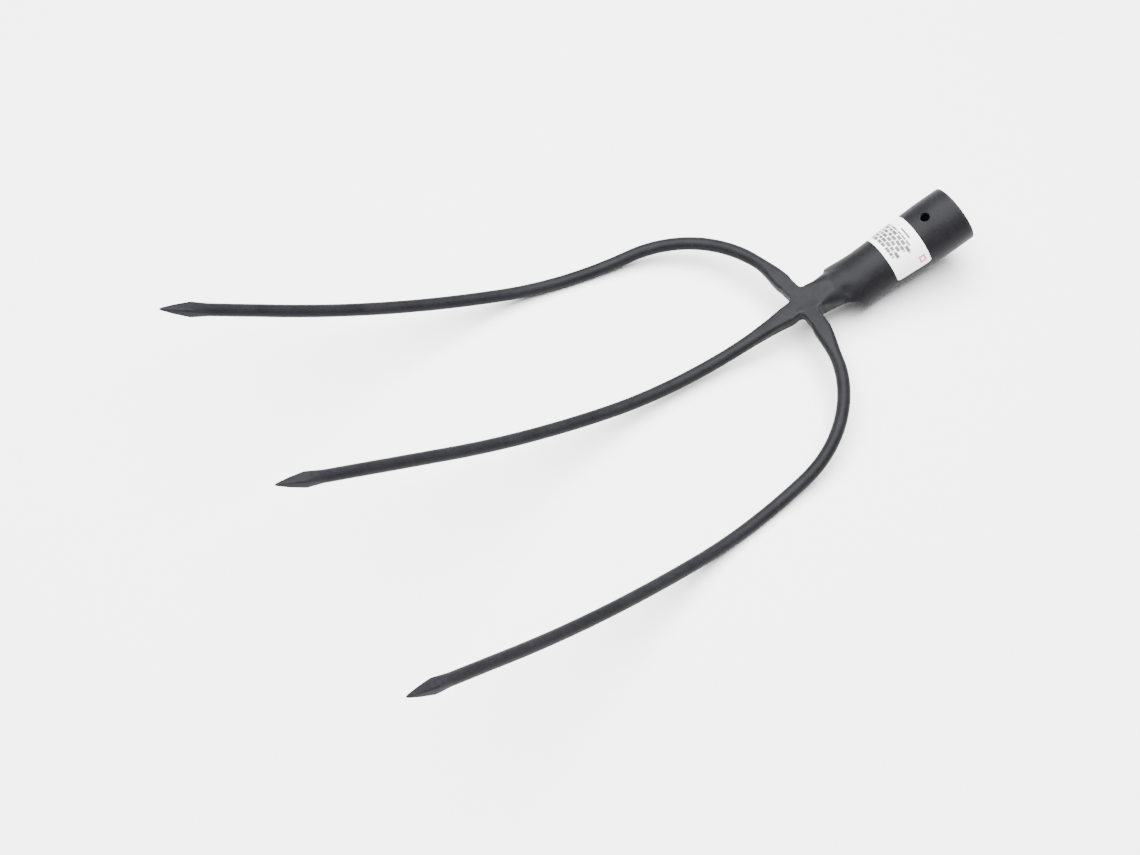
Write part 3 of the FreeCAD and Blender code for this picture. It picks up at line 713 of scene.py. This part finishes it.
def make_crown():
    """Forged plate where three arms and the neck meet, its rim rounded above and below."""
    heading = math.radians(ARM_HEADING)
    arms = [
        (0.0, NECK_WIDTH / 2, NECK_REACH),
        (heading, ARM_WIDTH / 2, ARM_REACH),
        (math.pi, MIDDLE_WIDTH / 2, MIDDLE_REACH),
        (2 * math.pi - heading, ARM_WIDTH / 2, ARM_REACH),
    ]
    fillets = (CORNER_ROUND, CROTCH_ROUND, CROTCH_ROUND, CORNER_ROUND)
    rounding = [math.radians(angle) for angle in range(90, -1, -15)]
    profile = [
        (EDGE_ROUND * (1 - math.cos(a)), CROWN_HALF - EDGE_ROUND * (1 - math.sin(a))) for a in rounding
    ]
    profile += [(inset, -height) for inset, height in reversed(profile)]
    edit = bmesh.new()
    wear = edit.verts.layers.float.new("wear")
    recess = edit.verts.layers.float.new("recess")

    def add(x, y, z, rubbed=0.0, shaded=0.0):
        if z < 0.0:
            z -= rib_depth(x, y) * min(1.0, -z / CROWN_HALF)
        vertex = edit.verts.new(settled((x, y, z)))
        vertex[wear] = rubbed
        vertex[recess] = shaded
        return vertex

    def rim_column(point, out):
        """The rim's profile at one place, from the top down."""
        column = []
        for row, (inset, height) in enumerate(profile):
            if height < 0.0:
                inset *= 1.0 - 0.9 * rib_depth(point.x, point.y) / RIB_DEPTH
            place = point - out * inset
            rubbed = 0.8 if 0 < row < len(rounding) - 2 else 0.0
            # Painted shade on the rim's lower shoulder, its side and its lower rounding.
            shaded = 0.8 if len(rounding) - 3 < row < len(profile) - 1 else 0.0
            column.append(add(place.x, place.y, height, rubbed, shaded))
        return column

    top_loop, bottom_loop, ends = [], [], []
    for index, fillet in enumerate(fillets):
        rim = arm_side(arms[index], arms[(index + 1) % 4], fillet)
        columns = [rim_column(point, out) for point, out in rim]
        for left, right in zip(columns, columns[1:]):
            for row in range(len(profile) - 1):
                edit.faces.new((left[row], left[row + 1], right[row + 1], right[row]))
        top_loop.append([column[0] for column in columns])
        bottom_loop.append([column[-1] for column in columns])
        ends.append((columns[0], columns[-1]))

    def closed_loop(parts):
        """Joins the four sides' edges, with steps across each arm's end."""
        loop, bridges = [], []
        for index, part in enumerate(parts):
            start, end = part[-1].co, parts[(index + 1) % 4][0].co
            bridge = []
            for i in range(1, ACROSS_STEPS):
                place = start.lerp(end, i / ACROSS_STEPS)
                if place.z < 0.0:
                    place.z = -CROWN_HALF - rib_depth(place.x, place.y)
                bridge.append(edit.verts.new(place))
            bridges.append(bridge)
            loop += part + bridge
        return loop, bridges

    def cover(loop, side):
        """Fills the plate's face in rings, slightly dished towards the middle."""
        outer = loop
        for ring in range(1, CROWN_RINGS):
            share = 1.0 - ring / CROWN_RINGS
            inside = eased((1.0 - share) * 2.2)
            inner = []
            for vertex in loop:
                x, y = vertex.co.x * share, vertex.co.y * share
                dish = -DISH_DEPTH * math.exp(-(x * x + y * y) / DISH_SPREAD)
                dish += hammered(Vector((x, y, side)), CROWN_MARKS)
                inner.append(add(x, y, side * (CROWN_HALF + dish * inside)))
            for i in range(len(loop)):
                j = (i + 1) % len(loop)
                edit.faces.new((outer[i], outer[j], inner[j], inner[i]))
            outer = inner
        middle = add(0.0, 0.0, outer[0].co.z)
        for i in range(len(outer)):
            edit.faces.new((outer[i], outer[(i + 1) % len(outer)], middle))

    top, top_bridges = closed_loop(top_loop)
    bottom, bottom_bridges = closed_loop(bottom_loop)
    cover(top, 1.0)
    cover(bottom, -1.0)
    for index in range(4):
        right_side = ends[index][1]
        left_side = ends[(index + 1) % 4][0]
        edit.faces.new(right_side + bottom_bridges[index] + left_side[::-1] + top_bridges[index][::-1])
    mesh = mesh_from(edit, "forged_crown")
    add_piece("forged_crown", mesh, "crown", forged_paint)


# Neck and socket

def dented(point):
    """Pushes the metal in where the hammer and the press left dents around the neck."""
    sink = 0.0
    if point.z > UNDERSIDE:
        for x, y, reach, depth in DENTS:
            away = (point.x - x) ** 2 + (point.y - y) ** 2
            sink += depth * math.exp(-away / (reach * reach))
    middle = Vector((point.x, 0.0, -SOCKET_DROP))
    inward = (middle - point).normalized()
    return point + inward * sink


def arc_points(centre_x, centre_y, radius, begin, end, count):
    angles = (math.radians(begin + (end - begin) * i / count) for i in range(count))
    return [(centre_x + radius * math.sin(a), centre_y + radius * math.cos(a)) for a in angles]


def line_points(start, end, count):
    return [(start[0] + (end[0] - start[0]) * i / count, start[1] + (end[1] - start[1]) * i / count)
            for i in range(count)]


def trough_section(place, half, top, rounding, foot, inner, roof):
    """Flat top, rounded shoulders, skirts at the sides and a hollow underneath."""
    rise = roof - foot
    radius = (inner * inner + rise * rise) / (2 * rise)
    spread = math.degrees(math.asin(min(1.0, inner / radius)))
    spread = 180.0 - spread if rise > radius else spread
    points = line_points((half, foot), (half, top - rounding), SKIRT_STEPS)
    points += arc_points(half - rounding, top - rounding, rounding, 90, 0, SHOULDER_STEPS)
    points += line_points((half - rounding, top), (rounding - half, top), FLAT_STEPS)
    points += arc_points(rounding - half, top - rounding, rounding, 0, -90, SHOULDER_STEPS)
    points += line_points((-half, top - rounding), (-half, foot), SKIRT_STEPS)
    points += line_points((-half, foot), (-inner, foot), EDGE_STEPS)
    points += arc_points(0.0, roof - radius, radius, -spread, spread, HOLLOW_STEPS)
    points += line_points((inner, foot), (half, foot), EDGE_STEPS)
    return [Vector((place, y, z)) for y, z in points]


def on_socket(along, angle, radius):
    """A point of the socket: along its axis, turned from its top, at a radius."""
    turn = math.radians(angle)
    tilt = math.radians(SOCKET_TILT)
    height = radius * math.cos(turn)
    return Vector((
        SOCKET_START + along * math.cos(tilt) - height * math.sin(tilt),
        radius * math.sin(turn),
        -SOCKET_DROP + along * math.sin(tilt) + height * math.cos(tilt),
    ))


def sheet_section():
    """The last section of the neck, on the sheet's front, with as many points as the others."""
    outer = SOCKET_RADII[0][1]
    inner = outer - SHEET
    skirt_end, shoulder_end = 0.8 * JOINED_ANGLE, 0.4 * JOINED_ANGLE
    bounds = (JOINED_ANGLE, skirt_end, shoulder_end, -shoulder_end, -skirt_end, -JOINED_ANGLE)
    counts = (SKIRT_STEPS, SHOULDER_STEPS, FLAT_STEPS, SHOULDER_STEPS, SKIRT_STEPS)
    sweep = [-JOINED_ANGLE + 2 * JOINED_ANGLE * i / HOLLOW_STEPS for i in range(HOLLOW_STEPS)]

    def edge(angle, begin, end):
        return [on_socket(0.0, angle, begin + (end - begin) * i / EDGE_STEPS) for i in range(EDGE_STEPS)]

    points = []
    for begin, end, count in zip(bounds, bounds[1:], counts):
        points += [on_socket(0.0, begin + (end - begin) * i / count, outer) for i in range(count)]
    points += edge(-JOINED_ANGLE, outer, inner)
    points += [on_socket(0.0, angle, inner) for angle in sweep]
    points += edge(JOINED_ANGLE, inner, outer)
    return points


def make_neck():
    """From the crown's bar to the rolled sheet, open underneath."""
    keys = [trough_section(*sizes) for sizes in (NECK_FACE, NECK_MIDDLE, NECK_WAIST)]
    keys.append(sheet_section())
    edit = bmesh.new()
    recess = edit.verts.layers.float.new("recess")
    top_start = SKIRT_STEPS + SHOULDER_STEPS
    top_end = top_start + FLAT_STEPS
    rings = []
    for step in range(NECK_STEPS + 1):
        share = step / NECK_STEPS
        fade_in = eased(share * 3.0)
        fade_out = eased((1.0 - share) * 4.0)
        ring = []
        for index, places in enumerate(zip(*keys)):
            stations = [(where, *place) for where, place in zip(NECK_SHARES, places)]
            point = Vector(through(stations, share))
            moved = dented(point)
            moved.z += hammered(point, NECK_MARKS) * fade_in * fade_out
            vertex = edit.verts.new(point.lerp(moved, fade_in))
            # Painted shade: darker off the flat top, over the shoulders, skirts and hollow, fading out
            # towards the socket.
            off_top = max(top_start - index, index - top_end, 0)
            vertex[recess] = eased(off_top / SHOULDER_STEPS) * eased((1.1 - share) * 2.0)
            ring.append(vertex)
        rings.append(ring)
    count = len(rings[0])
    for before, after in zip(rings, rings[1:]):
        for i in range(count):
            j = (i + 1) % count
            edit.faces.new((before[i], before[j], after[j], after[i]))
    edit.faces.new(rings[0])
    edit.faces.new(rings[-1][::-1])
    bmesh.ops.triangulate(edit, faces=[face for face in edit.faces if len(face.verts) > 4])
    mesh = mesh_from(edit, "troughed_neck")
    add_piece("troughed_neck", mesh, "neck", forged_paint)


def mouth_place(angle):
    """Where the sheet ends at one angle: the mouth isn't quite square to the axis."""
    past, left, under = MOUTH_SLANT
    turn = math.radians(angle)
    return SOCKET_LENGTH + past - left * math.sin(turn) + under * (1.0 - math.cos(turn))


def socket_column(angle):
    """Places, outer and inner radii down the sheet at one angle, front to mouth."""
    front = through(SHEET_FRONT, abs(angle))[0]
    mouth = mouth_place(angle)
    lip = LIP * eased((abs(angle) - JOINED_ANGLE) / LIP_BLEND)

    def lipped(place, size, direction):
        """Half round lip, from the sheet's end inwards."""
        radius = through(SOCKET_RADII, place)[0]
        rows = []
        for degrees in (0, 30, 60, 90):
            turn = math.radians(degrees)
            inset = size * (1 - math.sin(turn))
            along = place + direction * size * (1 - math.cos(turn))
            rows.append((along, radius - inset, radius - SHEET + inset))
        return rows

    rows = lipped(front, lip, 1.0)
    for i in range(1, SOCKET_STEPS):
        along = front + lip + (mouth - LIP - front - lip) * i / SOCKET_STEPS
        radius = through(SOCKET_RADII, along)[0]
        rows.append((along, radius, radius - SHEET))
    return rows + lipped(mouth, LIP, -1.0)[::-1]


def make_socket():
    """Sheet rolled to a cone, open along a seam underneath, with a nail hole on top."""
    half_seam = math.degrees(SEAM_WIDTH / 2 / SOCKET_RADII[-1][1])
    limit = 180.0 - half_seam
    edit = bmesh.new()
    wear = edit.verts.layers.float.new("wear")
    recess = edit.verts.layers.float.new("recess")
    columns = []
    for number in range(SOCKET_COLUMNS + 1):
        angle = -limit + 2 * limit * number / SOCKET_COLUMNS
        # Painted shade on the socket's sides and underside, growing with the angle from its top.
        shaded = SIDE_PAINTED_SHADE * eased((abs(angle) - SIDE_SPAN[0]) / SIDE_SPAN[1])
        rows = socket_column(angle)
        column = []
        for index, (along, outer, inner) in enumerate(rows):
            fade = eased((DENTS_END - along) / DENTS_FADE)
            on_lip = index > len(rows) - 5 or (index < 4 and abs(angle) > JOINED_ANGLE + 4.0)
            pair = []
            for radius in (outer, inner):
                point = on_socket(along, angle, radius)
                vertex = edit.verts.new(point.lerp(dented(point), fade))
                vertex[wear] = 0.8 if on_lip else 0.0
                vertex[recess] = shaded
                pair.append(vertex)
            column.append(pair)
        columns.append(column)
    last = len(columns[0]) - 1
    for left, right in zip(columns, columns[1:]):
        for i in range(last):
            edit.faces.new((left[i][0], left[i + 1][0], right[i + 1][0], right[i][0]))
            edit.faces.new((left[i][1], right[i][1], right[i + 1][1], left[i + 1][1]))
        edit.faces.new((left[0][0], right[0][0], right[0][1], left[0][1]))
        edit.faces.new((left[last][0], left[last][1], right[last][1], right[last][0]))
    for column in (columns[0], columns[-1]):
        for i in range(last):
            edit.faces.new((column[i][0], column[i + 1][0], column[i + 1][1], column[i][1]))
    bmesh.ops.remove_doubles(edit, verts=edit.verts, dist=0.002)
    bmesh.ops.recalc_face_normals(edit, faces=edit.faces)
    mesh = with_nail_hole(mesh_from(edit, "rolled_socket"))
    add_piece("rolled_socket", mesh, "socket", sheet_paint)


def with_nail_hole(mesh):
    """Drills the nail hole through the top of the sheet."""
    low, high = (on_socket(NAIL_PLACE, 0.0, radius) for radius in DRILL_SPAN)
    drill = bmesh.new()
    bmesh.ops.create_cone(
        drill, cap_ends=True, segments=40, radius1=NAIL_DIAMETER / 2, radius2=NAIL_DIAMETER / 2,
        depth=DRILL_SPAN[1] - DRILL_SPAN[0],
    )
    turn = (high - low).to_track_quat("Z", "Y").to_matrix().to_4x4()
    drill.transform(Matrix.Translation((low + high) / 2) @ turn)
    sheet = bpy.data.objects.new("sheet", mesh)
    bit = bpy.data.objects.new("bit", mesh_from(drill, "drill"))
    for item in (sheet, bit):
        bpy.context.scene.collection.objects.link(item)
    cut = sheet.modifiers.new("drill", "BOOLEAN")
    cut.operation = "DIFFERENCE"
    cut.solver = "EXACT"
    cut.object = bit
    graph = bpy.context.evaluated_depsgraph_get()
    result = bpy.data.meshes.new_from_object(sheet.evaluated_get(graph), depsgraph=graph)
    bpy.data.objects.remove(sheet)
    bpy.data.objects.remove(bit)
    return result


# Label

def make_label():
    """Paper wrapped around the top of the socket, with rounded corners."""
    columns, rows = LABEL_COLUMNS, LABEL_ROWS
    sweep = LABEL_FAR - LABEL_NEAR
    edit = bmesh.new()
    printed = edit.loops.layers.uv.new("print")
    lower, upper, places = [], [], []
    for i in range(columns + 1):
        across = i / columns
        angle = LABEL_NEAR + sweep * across
        from_end = min(across, 1.0 - across) * math.radians(sweep) * LABEL_RADIUS
        inset = 0.0
        if from_end < LABEL_CORNER:
            inset = LABEL_CORNER - math.sqrt(LABEL_CORNER ** 2 - (LABEL_CORNER - from_end) ** 2)
        low = LABEL_START + inset
        high = LABEL_END - inset
        for j in range(rows + 1):
            along = low + (high - low) * j / rows
            radius = through(SOCKET_RADII, along)[0]
            lift = PAPER_LIFT * max(0.0, noise.noise(Vector((along * 0.12, angle * 0.03, 3.0))))
            lower.append(edit.verts.new(on_socket(along, angle, radius + PASTE)))
            upper.append(edit.verts.new(on_socket(along, angle, radius + PAPER + lift)))
            places.append((across, (along - LABEL_START) / (LABEL_END - LABEL_START)))

    def number(i, j):
        return i * (rows + 1) + j

    def add_face(vertices, indices):
        face = edit.faces.new(vertices)
        for loop, index in zip(face.loops, indices):
            loop[printed].uv = places[index]

    for i in range(columns):
        for j in range(rows):
            corners = [number(i, j), number(i, j + 1), number(i + 1, j + 1), number(i + 1, j)]
            add_face([upper[k] for k in corners], corners)
            add_face([lower[k] for k in reversed(corners)], corners[::-1])
    border = [number(i, 0) for i in range(columns)]
    border += [number(columns, j) for j in range(rows)]
    border += [number(i, rows) for i in range(columns, 0, -1)]
    border += [number(0, j) for j in range(rows, 0, -1)]
    for a, b in zip(border, border[1:] + border[:1]):
        add_face([lower[a], lower[b], upper[b], upper[a]], [a, b, b, a])
    add_piece("paper_label", mesh_from(edit, "paper_label"), "label", paper)


bar_tree = tine_tree()
make_middle_tine(bar_tree)
make_outer_tine(bar_tree, "near_prong", "left_tine", -1)
make_outer_tine(bar_tree, "far_prong", "right_tine", 1)
make_crown()
make_neck()
make_socket()
make_label()


# Studio

def make_floor(reach):
    mesh = bpy.data.meshes.new("floor")
    corners = [(-reach, -reach, 0), (reach, -reach, 0), (reach, reach, 0), (-reach, reach, 0)]
    mesh.from_pydata(corners, [], [(0, 1, 2, 3)])
    floor = bpy.data.objects.new("floor", mesh)
    bpy.context.scene.collection.objects.link(floor)
    mesh.materials.append(floor_paint("studio_floor"))


def make_light(name, place, aim, width, power):
    lamp = bpy.data.lights.new(name, "AREA")
    lamp.shape = "SQUARE"
    lamp.size = width
    lamp.energy = power
    light = bpy.data.objects.new(name, lamp)
    bpy.context.scene.collection.objects.link(light)
    light.location = place
    light.rotation_euler = (Vector(place) - Vector(aim)).to_track_quat("Z", "Y").to_euler()


def make_world(strength):
    world = bpy.data.worlds.new("studio")
    bpy.context.scene.world = world
    world.use_nodes = True
    sky = world.node_tree.nodes["Background"]
    sky.inputs["Color"].default_value = (1.0, 1.0, 1.0, 1.0)
    sky.inputs["Strength"].default_value = strength


def make_camera():
    azimuth = math.radians(CAMERA_AZIMUTH)
    elevation = math.radians(CAMERA_ELEVATION)
    roll = math.radians(CAMERA_ROLL)
    back = Vector((
        math.sin(azimuth) * math.cos(elevation),
        -math.cos(azimuth) * math.cos(elevation),
        math.sin(elevation),
    ))
    level_right = Vector((math.cos(azimuth), math.sin(azimuth), 0))
    level_up = back.cross(level_right)
    right = level_right * math.cos(roll) + level_up * math.sin(roll)
    up = back.cross(right)
    data = bpy.data.cameras.new("camera")
    data.lens = LENS
    data.sensor_width = SENSOR
    camera = bpy.data.objects.new("camera", data)
    bpy.context.scene.collection.objects.link(camera)
    turn = Matrix((right, up, back)).transposed().to_4x4()
    camera.matrix_world = Matrix.Translation(CAMERA_PLACE) @ turn
    bpy.context.scene.camera = camera


make_floor(reach=4.0)
make_world(strength=0.3)
make_light("overhead", place=(0.0, 0.2, 1.9), aim=(0.0, 0.0, 0.0), width=2.4, power=320.0)
make_camera()
